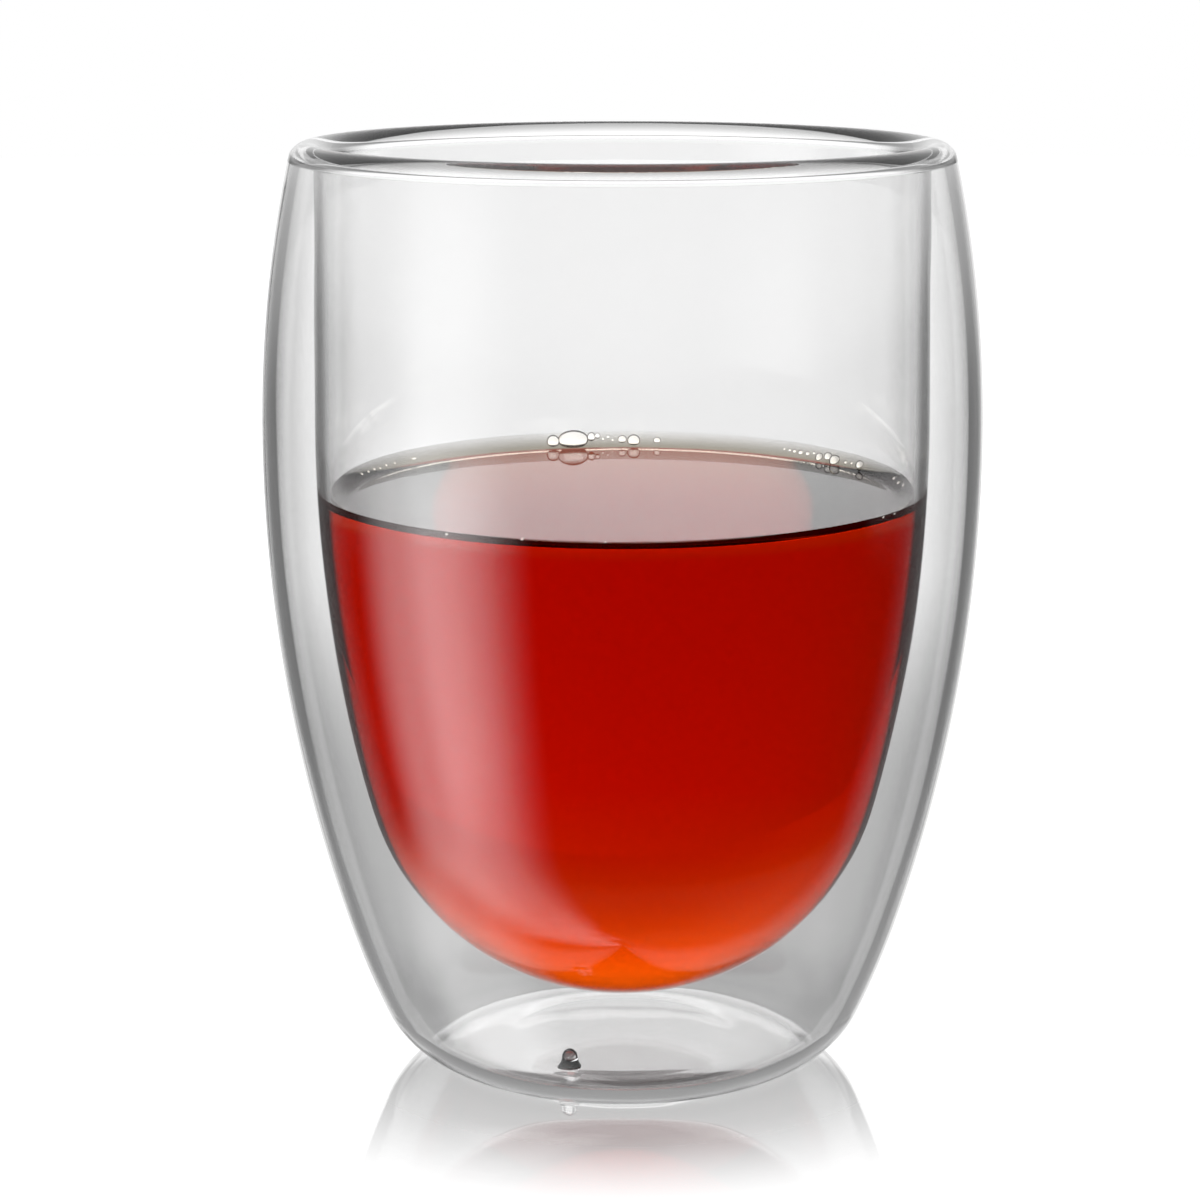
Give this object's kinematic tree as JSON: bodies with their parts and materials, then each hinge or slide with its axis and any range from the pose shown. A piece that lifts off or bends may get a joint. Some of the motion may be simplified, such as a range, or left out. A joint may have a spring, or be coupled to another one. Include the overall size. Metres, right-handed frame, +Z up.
{
  "type": "double-walled glass tumbler",
  "caption": "Barrel-shaped double-walled clear glass tumbler without a handle, rounded lip and narrow foot, a little over half full of red-amber tea.",
  "frame": {"origin": "centre of the foot ring's circle, on the plane the glass stands on", "axes": "+Z up along the axis of the glass, +X to the viewer's right, -Y towards the viewer"},
  "size_m": [0.0882, 0.0882, 0.115],
  "materials": {
    "borosilicate glass": "gloss",
    "black tea": "gloss"
  },
  "bodies": {
    "root": {"glass": "borosilicate glass", "tea": "black tea"}
  },
  "joints": []
}
